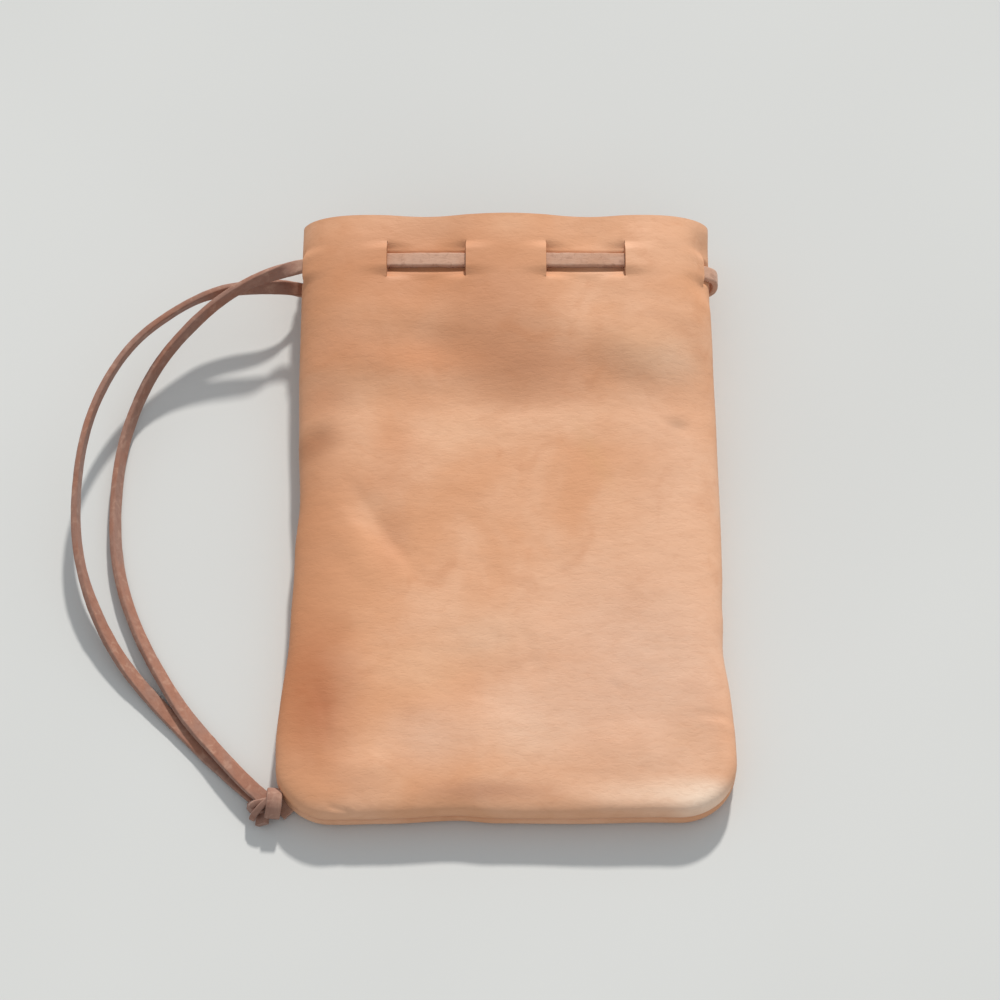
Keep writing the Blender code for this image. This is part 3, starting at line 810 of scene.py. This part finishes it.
# The knot's strips, in millimetres and degrees: (x, y, z, heading of the width, its tilt)
KNOT_STRIPS = {
    "knot_fold": [
        (-74.6, -97.6, 5.0, -96, 56), (-77.4, -98.3, 5.0, -94, 60), (-79.4, -98.7, 4.7, -92, 62),
        (-80.5, -99.4, 4.2, -70, 64), (-80.0, -100.3, 3.6, -30, 60), (-78.2, -100.7, 3.2, -10, 56),
        (-75.8, -100.4, 3.0, 4, 50),
    ],
    "knot_cross": [
        (-75.2, -98.4, 6.2, -112, 52), (-76.7, -99.6, 5.8, -110, 54), (-78.1, -100.8, 4.8, -106, 56),
        (-79.2, -101.7, 3.6, -100, 58), (-79.6, -102.1, 2.7, -96, 60),
    ],
    "left_tail": [
        (-75.6, -99.6, 3.2, 8, 34), (-76.4, -101.2, 2.9, 7, 40), (-76.9, -103.2, 2.5, 6, 42),
        (-77.0, -105.0, 2.4, 4, 42),
    ],
    "right_tail": [
        (-74.6, -97.8, 3.4, 54, 10), (-72.0, -98.3, 2.6, 52, 14), (-70.0, -99.6, 1.9, 50, 12),
        (-68.4, -101.2, 1.6, 49, 8),
    ],
}
KNOT_SPACING = 0.0006
KNOT_ANGLE_STEP = 1.0


def knot_line(stops):
    """A knot strip's line, its places and its width's angles eased through the chosen stops."""
    places = smooth_route([Vector(stop[:3]) / 1000 for stop in stops], KNOT_SPACING)
    angles = smooth_route([Vector((stop[3], stop[4], 0.0)) for stop in stops], KNOT_ANGLE_STEP)
    line = []
    for i, place in enumerate(places):
        k = i / (len(places) - 1) * (len(angles) - 1)
        low = angles[int(k)]
        high = angles[min(int(k) + 1, len(angles) - 1)]
        heading, tilt = (math.radians(v) for v in low.lerp(high, k - int(k)).xy)
        level = math.cos(tilt)
        width = Vector((level * math.cos(heading), level * math.sin(heading), math.sin(tilt)))
        line.append((place, width))
    return line


# The knot's wrap: centre in millimetres, heading of its axis, breadth, height, lean and rings
KNOT_WRAP_CENTRE = (-73.5, -98.8, 4.65)
KNOT_WRAP_HEADING = math.radians(-3)
KNOT_WRAP_BREADTH = 0.0080
KNOT_WRAP_HEIGHT = 0.0071
KNOT_WRAP_LEAN = 0.0006
KNOT_WRAP_STEPS = 56


def wrap_line():
    """The knot's wrap: one oval turn of the thong over both ends."""
    centre = Vector(KNOT_WRAP_CENTRE) / 1000
    axis = Vector((math.cos(KNOT_WRAP_HEADING), math.sin(KNOT_WRAP_HEADING), 0.0))
    aside = Vector((-axis.y, axis.x, 0.0))
    line = []
    for i in range(KNOT_WRAP_STEPS):
        angle = 2 * math.pi * i / KNOT_WRAP_STEPS
        lean = KNOT_WRAP_LEAN * math.sin(angle)
        out = aside * math.cos(angle) * KNOT_WRAP_BREADTH / 2
        out += Vector((0.0, 0.0, math.sin(angle) * KNOT_WRAP_HEIGHT / 2))
        line.append((centre + out + axis * lean, axis))
    return line


def joined(name, items):
    """One object from several, so that the knot rides as a single piece."""
    mesh = bmesh.new()
    mesh.loops.layers.uv.new("Strip")
    for item in items:
        mesh.from_mesh(item.data)
    material = items[0].data.materials[0]
    for item in items:
        bpy.data.objects.remove(item, do_unlink=True)
    knot = add_mesh(name, mesh, material)
    knot.data.set_sharp_from_angle(angle=SHARP_ANGLE)
    return knot


def make_knot(material):
    strips = [make_strip(name, knot_line(stops), material) for name, stops in KNOT_STRIPS.items()]
    strips.append(make_strip("knot_wrap", wrap_line(), material, closed=True))
    return joined("thong_knot", strips)


def seam_stops():
    """Points on the stitched line from the left-hand rim round the bottom edge to the right-hand rim."""
    depth = SEAM_TUCK + STITCH_INSET
    rows = spread_rows(RIM_Y - STITCH_FROM_RIM, BOTTOM_Y + LEATHER / 2, SEAM_STEP)
    bottom = rows[-1]
    across = spread_rows(-row_reach(LEFT, bottom), row_reach(RIGHT, bottom), SEAM_STEP)
    stops = [(-row_reach(LEFT, y), y) for y in rows]
    stops += [(x, bottom) for x in across]
    stops += [(row_reach(RIGHT, y), y) for y in rows[::-1]]
    line = []
    for x, y in stops:
        away = outline_normal(x, y) * depth
        line.append(Vector((x - away.x, y - away.y, seam_height(y))))
    return line


def make_seam_thread(material):
    """A running stitch through both allowances, in turn above the front one and below the back one."""
    stops = seam_stops()
    step_in = LEATHER + CLEARANCE / 2 + THREAD_RADIUS
    path, side, since = [], 1, 0.0
    for a, b in zip(stops, stops[1:]):
        since += (b - a).length
        if since >= STITCH_LENGTH:
            through = Vector((0.0, 0.0, side * step_in * STITCH_THROUGH))
            path += [b + through, b - through]
            side, since = -side, 0.0
        elif STITCH_FLAT[0] * STITCH_LENGTH < since < STITCH_FLAT[1] * STITCH_LENGTH:
            path.append(b + Vector((0.0, 0.0, side * step_in)))
    curve = bpy.data.curves.new("seam_thread", "CURVE")
    curve.dimensions = "3D"
    curve.bevel_depth = THREAD_RADIUS
    curve.bevel_resolution = 1
    curve.use_fill_caps = True
    spline = curve.splines.new("POLY")
    spline.points.add(len(path) - 1)
    for point, place in zip(spline.points, path):
        point.co = (*place, 1.0)
    curve.materials.append(material)
    thread = bpy.data.objects.new("seam_thread", curve)
    bpy.context.scene.collection.objects.link(thread)
    return thread


class Shade:
    """A material's nodes, built up by short calls. Sockets and plain values both serve as inputs."""

    def __init__(self, name):
        self.material = bpy.data.materials.new(name)
        self.material.use_nodes = True
        self.tree = self.material.node_tree
        self.shader = self.tree.nodes["Principled BSDF"]
        self.place = self.tree.nodes.new("ShaderNodeTexCoord").outputs["Object"]

    def feed(self, socket, value):
        if isinstance(value, bpy.types.NodeSocket):
            self.tree.links.new(value, socket)
        elif isinstance(value, tuple) and socket.type == "RGBA":
            socket.default_value = (*linear(value), 1.0)
        else:
            socket.default_value = value

    def node(self, kind, inputs, **settings):
        node = self.tree.nodes.new("ShaderNode" + kind)
        for name, value in settings.items():
            setattr(node, name, value)
        for name, value in inputs.items():
            self.feed(node.inputs[name], value)
        return node

    def stretched(self, where, stretch):
        return self.node("VectorMath", {0: where, 1: stretch}, operation="MULTIPLY").outputs[0]

    def noise(self, scale, detail=3.0, stretch=(1.0, 1.0, 1.0), distortion=0.0, where=None):
        where = self.stretched(where or self.place, stretch)
        inputs = {"Vector": where, "Scale": scale, "Detail": detail, "Distortion": distortion}
        return self.node("TexNoise", inputs).outputs["Fac"]

    def cells(self, scale, stretch=(1.0, 1.0, 1.0)):
        where = self.stretched(self.place, stretch)
        return self.node("TexVoronoi", {"Vector": where, "Scale": scale}).outputs["Distance"]

    def fit(self, value, low, high, out_low=0.0, out_high=1.0):
        inputs = {"Value": value, "From Min": low, "From Max": high, "To Min": out_low, "To Max": out_high}
        return self.node("MapRange", inputs, interpolation_type="SMOOTHSTEP").outputs["Result"]

    def math(self, operation, a, b):
        return self.node("Math", {0: a, 1: b}, operation=operation).outputs[0]

    def blend(self, share, a, b, kind="MIX"):
        node = self.node("Mix", {}, data_type="RGBA", blend_type=kind)
        for index, value in ((0, share), (6, a), (7, b)):
            self.feed(node.inputs[index], value)
        return node.outputs[2]

    def blob(self, x, y, length, breadth, heading, strength):
        """A soft oval patch of the plan, in millimetres and degrees: strength in its middle, 0 outside."""
        inputs = {"Vector": self.place, "Location": (x / 1000, y / 1000, 0.0)}
        inputs["Rotation"] = (0.0, 0.0, math.radians(heading))
        inputs["Scale"] = (length / 1000, breadth / 1000, 1.0)
        local = self.node("Mapping", inputs, vector_type="TEXTURE").outputs[0]
        reach = self.node("VectorMath", {0: local}, operation="LENGTH").outputs["Value"]
        return self.fit(reach, 1.0, 0.0, 0.0, strength)

    def bump(self, height, distance, below=None):
        inputs = {"Height": height, "Distance": distance, "Strength": 1.0}
        if below is not None:
            inputs["Normal"] = below
        return self.node("Bump", inputs).outputs["Normal"]

    def finish(self, colour, roughness, normal=None, specular=0.3, sheen=0.0):
        self.feed(self.shader.inputs["Base Color"], colour)
        self.feed(self.shader.inputs["Roughness"], roughness)
        self.shader.inputs["Specular IOR Level"].default_value = specular
        if sheen:
            self.shader.inputs["Sheen Weight"].default_value = sheen
            self.shader.inputs["Sheen Roughness"].default_value = 0.5
        if normal is not None:
            self.feed(self.shader.inputs["Normal"], normal)
        return self.material


def linear(colour):
    """An sRGB colour in 0 to 255 as linear values for Blender's sockets."""
    return tuple((c / 255 / 12.92) if c <= 10 else ((c / 255 + 0.055) / 1.055) ** 2.4 for c in colour)


# Patches of the front panel's colour, in millimetres and degrees. Some are its own uneven tone; the ones
# marked below are painted shade and painted highlight:
# (x, y, half length, half breadth, heading, strength, colour)
FRONT_TONE_AND_PAINTED_LIGHT = [
    (-66, -10, 26, 125, 0, 0.70, (194, 132, 92)),
    (-62, -66, 24, 40, 4, 0.85, (182, 110, 68)),
    # Painted shade: this one lies along the crease from (-60, -62) to (-55.5, -84)
    (-58, -71, 6, 16, 4, 0.20, (176, 98, 62)),
    (-34, 82, 74, 36, 0, 0.75, (200, 134, 92)),
    (52, 92, 28, 20, 0, 0.45, (220, 164, 126)),
    (44, -60, 62, 60, 0, 0.70, (229, 188, 162)),
    (58, 20, 30, 60, 0, 0.45, (228, 183, 153)),
    # Painted shade: this and the next two darken the band below the gathers, where the panel slopes away
    # from the light
    (-2, 68, 30, 20, 0, 0.50, (196, 130, 90)),
    (4, 48, 50, 18, -6, 0.65, (208, 138, 96)),
    (-28, 52, 26, 18, 0, 0.45, (216, 150, 108)),
    # Painted highlight: this one lightens the right of that band against its shade
    (48, 52, 18, 12, -10, 0.60, (238, 194, 160)),
    (-36, 20, 15, 15, 0, 0.45, (212, 148, 108)),
    # Painted shade: this one lies along the crease from (50, 30.5) to (60, 26.5)
    (56.4, 28.0, 6, 4, 20, 0.45, (186, 146, 118)),
    # Partly a brown spot of the leather, partly painted shade in the hollow at (-62, 25)
    (-63.0, 22.0, 13, 9, 10, 0.70, (160, 106, 72)),
    (29, 16, 24, 5, -64, 0.22, (208, 158, 108)),
    # Painted highlight: this one lightens the flatter stretch below the band, where the sun falls fuller
    (-15, 24, 20, 12, 0, 0.50, (236, 188, 152)),
    # Painted shade: this one darkens the slope above the diagonal crease, which faces away from the light
    (-36, 2, 20, 12, -54, 0.30, (204, 146, 108)),
    (56, -80, 10, 6, 10, 0.30, (212, 160, 122)),
    # Painted shade: this one lies along the crease from (33, -61) to (37.5, -64.2)
    (34.5, -62.5, 4, 2, -36, 0.25, (190, 150, 126)),
    (-46, -95, 26, 9, 0, 0.10, (226, 180, 142)),
    (2, 97, 14, 10, 0, 0.45, (228, 180, 144)),
    (-24, -80, 22, 18, 0, 0.60, (230, 189, 162)),
    (6, -72, 40, 22, 0, 0.55, (234, 192, 164)),
    # Painted shade: this one darkens the middle of the bottom roll, where the front's lower edge tucks in
    (-6, -97.5, 34, 6, 0, 0.70, (186, 134, 104)),
    # Painted highlight: this one lightens the right-hand end of the bottom roll against its own shade
    (48, -99, 34, 8, 0, 0.75, (242, 206, 178)),
    # Painted highlight: this and the next two lighten and warm the shaded band below the gathers
    (-55, 56, 22, 13, 0, 0.50, (232, 160, 116)),
    (48, 54, 20, 12, -10, 0.50, (242, 184, 142)),
    (-2, 56, 24, 10, -6, 0.35, (222, 152, 108)),
    # Painted shade: this and the next two carry that darker band down to its lower edge
    (6, 37, 30, 9, 0, 0.50, (204, 144, 106)),
    (-28, 36, 22, 9, 0, 0.40, (214, 150, 108)),
    (-60, 38, 12, 10, 0, 0.40, (204, 138, 98)),
    (-27, -57, 20, 15, 0, 0.50, (236, 190, 154)),
    # Painted highlight: this one lightens the right-hand end of the bottom roll
    (58, -98, 16, 8, 0, 0.60, (250, 220, 194)),
    (8, -80, 26, 12, 0, 0.30, (240, 200, 170)),
    (-9, -46, 24, 17, 0, 0.60, (240, 198, 166)),
    # Painted highlight: this one lightens the right of the band below the gathers
    (56, 50, 14, 12, 0, 0.50, (242, 200, 168)),
    # Painted highlight: this one lightens the bottom roll's right-hand corner
    (62, -100, 14, 8, 20, 0.75, (252, 226, 202)),
    (-48, -95, 18, 12, 0, 0.35, (200, 138, 102)),
    (41, 78, 24, 12, 0, 0.35, (206, 148, 110)),
    # Painted shade: this and the next one darken the diagonal crease and the slope above it
    (-37, -14, 9, 18, 0, 0.35, (204, 140, 102)),
    (-41, 7, 20, 9, 0, 0.35, (206, 142, 102)),
    # Painted highlight: this one warms and lightens the band below the gathers
    (-35, 50, 44, 9, 0, 0.35, (236, 156, 106)),
]


def grain_leather(name, patches, seed):
    """Vegetable-tanned grain leather: patchy tan, fine pores and short wrinkles across it, with painted
    shade between the wrinkles. Some of the patches given are painted shade and painted highlight.
    """
    shade = Shade(name)
    moved = {0: shade.place, 1: (seed, seed * 0.7, 0.0)}
    offset = shade.node("VectorMath", moved, operation="ADD").outputs[0]
    cloudy = shade.noise(26.0, 4.0, (1.0, 1.0, 0.6), 0.4, offset)
    colour = shade.blend(shade.fit(cloudy, 0.34, 0.66), TAN, TAN_PALE)
    drift = shade.noise(70.0, 5.0, (1.0, 1.0, 1.0), 0.8, offset)
    colour = shade.blend(shade.fit(drift, 0.52, 0.78, 0.0, 0.45), colour, TAN_DEEP)
    for *place, strength, tone in patches:
        colour = shade.blend(shade.blob(*place, strength), colour, tone)
    mottle = shade.noise(300.0, 4.0, (0.6, 1.2, 1.0), 0.4)
    colour = shade.blend(shade.fit(mottle, 0.35, 0.68, 0.0, 0.12), colour, (206, 146, 106))
    wrinkle = shade.noise(900.0, 3.0, (0.45, 1.25, 1.0), 0.8)
    pores = shade.cells(1700.0, (0.8, 1.1, 1.0))
    lines = shade.fit(wrinkle, 0.34, 0.56)
    # Painted shade: a little darker on the low ground between the wrinkles
    colour = shade.blend(shade.fit(lines, 0.0, 0.6, 0.07, 0.0), colour, (190, 126, 86))
    height = shade.math("ADD", lines, shade.math("MULTIPLY", pores, 0.5))
    broad = shade.bump(shade.noise(150.0, 4.0, (0.7, 1.2, 1.0)), 0.00024)
    normal = shade.bump(height, 0.000018, broad)
    return shade.finish(colour, shade.fit(cloudy, 0.3, 0.7, 0.66, 0.54), normal)


def flesh_leather():
    """The hide's inner side: paler, dull and fibrous."""
    shade = Shade("Flesh side")
    fibres = shade.noise(900.0, 5.0, (0.5, 1.4, 1.0), 1.4)
    cloudy = shade.noise(60.0, 4.0)
    colour = shade.blend(shade.fit(cloudy, 0.35, 0.65), (206, 160, 126), (192, 144, 110))
    colour = shade.blend(shade.fit(fibres, 0.35, 0.65, 0.0, 0.4), colour, (224, 190, 160))
    return shade.finish(colour, 0.9, shade.bump(fibres, 0.00018), specular=0.15, sheen=0.25)


def cut_leather():
    """The cut edge: much as the grain side, with the fibres of the section showing."""
    shade = Shade("Cut edge")
    fibres = shade.noise(1400.0, 4.0, (1.0, 1.0, 1.0), 0.6)
    colour = shade.blend(shade.fit(fibres, 0.35, 0.65), (198, 144, 108), (176, 118, 84))
    return shade.finish(colour, 0.85, shade.bump(fibres, 0.00008), specular=0.2)


def thong_leather():
    """Thong cut from a thicker hide: fibrous along its run, and duller where it has been handled."""
    shade = Shade("Thong")
    strip = shade.node("UVMap", {}, uv_map="Strip").outputs[0]
    streaks = shade.noise(3.0, 4.0, (1.4, 26.0, 1.0), 0.5, strip)
    stretch = shade.noise(1.0, 3.0, (0.55, 2.2, 1.0), 0.3, strip)
    mottle = shade.noise(420.0, 5.0, (1.0, 1.0, 1.0), 0.6)
    left = shade.node("SeparateXYZ", {"Vector": shade.place}).outputs["X"]
    handled = shade.fit(left, -0.062, -0.076)
    pale = shade.blend(shade.fit(stretch, 0.42, 0.68, 0.0, 0.6), (206, 164, 140), (200, 150, 120))
    dull = shade.blend(shade.fit(stretch, 0.44, 0.66, 0.0, 0.6), (156, 119, 104), (164, 110, 86))
    colour = shade.blend(handled, pale, dull)
    colour = shade.blend(shade.fit(streaks, 0.45, 0.75, 0.0, 0.35), colour, (136, 92, 74))
    colour = shade.blend(shade.fit(mottle, 0.50, 0.74, 0.0, 0.30), colour, (208, 172, 150))
    colour = shade.blend(shade.fit(mottle, 0.48, 0.28, 0.0, 0.35), colour, (132, 88, 70))
    fibres = shade.noise(1300.0, 5.0, (1.0, 1.0, 1.0), 0.8)
    height = shade.math("ADD", fibres, shade.math("MULTIPLY", streaks, 0.8))
    return shade.finish(colour, 0.86, shade.bump(height, 0.00008), specular=0.2, sheen=0.15)


def thread_material():
    shade = Shade("Seam thread")
    ply = shade.noise(1800.0, 2.0, (1.0, 1.0, 2.0))
    colour = shade.blend(shade.fit(ply, 0.4, 0.6), (196, 158, 120), (150, 108, 76))
    return shade.finish(colour, 0.7, shade.bump(ply, 0.00006))


def floor_material():
    shade = Shade("Pale floor")
    soft = shade.noise(5.0, 2.0)
    colour = shade.blend(shade.fit(soft, 0.3, 0.7), FLOOR, tuple(c + 3 for c in FLOOR))
    return shade.finish(colour, 0.92, specular=0.1)


def make_camera():
    camera = bpy.data.objects.new("Camera", bpy.data.cameras.new("Camera"))
    camera.data.sensor_width = 36.0
    camera.data.lens = CAMERA_LENS
    camera.location = CAMERA_AIM + SIGHT * CAMERA_DISTANCE
    camera.rotation_euler = (CAMERA_TILT, 0.0, 0.0)
    bpy.context.scene.collection.objects.link(camera)
    bpy.context.scene.camera = camera


def make_light():
    data = bpy.data.lights.new("Key", "SUN")
    data.energy = SUN_STRENGTH
    data.angle = SUN_ANGLE
    data.color = SUN_COLOUR
    lamp = bpy.data.objects.new("Key", data)
    lamp.rotation_euler = SUN_HEADING.to_track_quat("-Z", "Y").to_euler()
    bpy.context.scene.collection.objects.link(lamp)
    world = bpy.data.worlds.new("Studio")
    world.use_nodes = True
    background = world.node_tree.nodes["Background"]
    background.inputs["Color"].default_value = (*AMBIENT, 1.0)
    background.inputs["Strength"].default_value = AMBIENT_STRENGTH
    bpy.context.scene.world = world


def make_floor():
    mesh = bmesh.new()
    bmesh.ops.create_grid(mesh, x_segments=1, y_segments=1, size=3.0)
    add_mesh("floor", mesh, floor_material())


def settle(piece, slot, *nodes):
    """Lets a piece ride on the pouch, in place of the part's nodes. Its slot is not used."""
    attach(piece, "root")
    if nodes:
        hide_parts(*nodes)


def main():
    bpy.context.scene.view_settings.view_transform = "Standard"
    make_camera()
    make_light()
    make_floor()

    lace = thong_leather()
    woven = woven_line()
    knot = make_knot(lace)
    settle(knot, "thong", "drawstring_knot")
    front_stub, back_stub = woven[END_LEAD::-1], woven[-END_LEAD - 1:]
    front_route, back_route = FRONT_END_ROUTE + FRONT_END_TUCK, BACK_END_ROUTE + BACK_END_TUCK
    ends = (
        ("drawstring_front_end", "front_free_end", front_stub, front_route, FRONT_END_TURN),
        ("drawstring_back_end", "back_free_end", back_stub, back_route, BACK_END_TURN),
    )
    for node, name, stub, route, turn in ends:
        line = free_end_line(stub, route, turn)
        strip = make_strip(name, line, lace)
        settle(strip, "thong", node)
    run = make_strip("woven_thong", woven[END_LEAD:-END_LEAD], lace)
    settle(run, "thong", "drawstring")

    flesh, cut = flesh_leather(), cut_leather()
    front = make_panel("front_leather", FRONT, grain_leather("Front grain", FRONT_TONE_AND_PAINTED_LIGHT, 0.0), flesh, cut)
    settle(front, "leather", "front_panel")
    back = make_panel("back_leather", BACK, grain_leather("Back grain", [], 0.31), flesh, cut)
    settle(back, "leather", "back_panel")
    settle(make_seam_thread(thread_material()), "thong")


main()
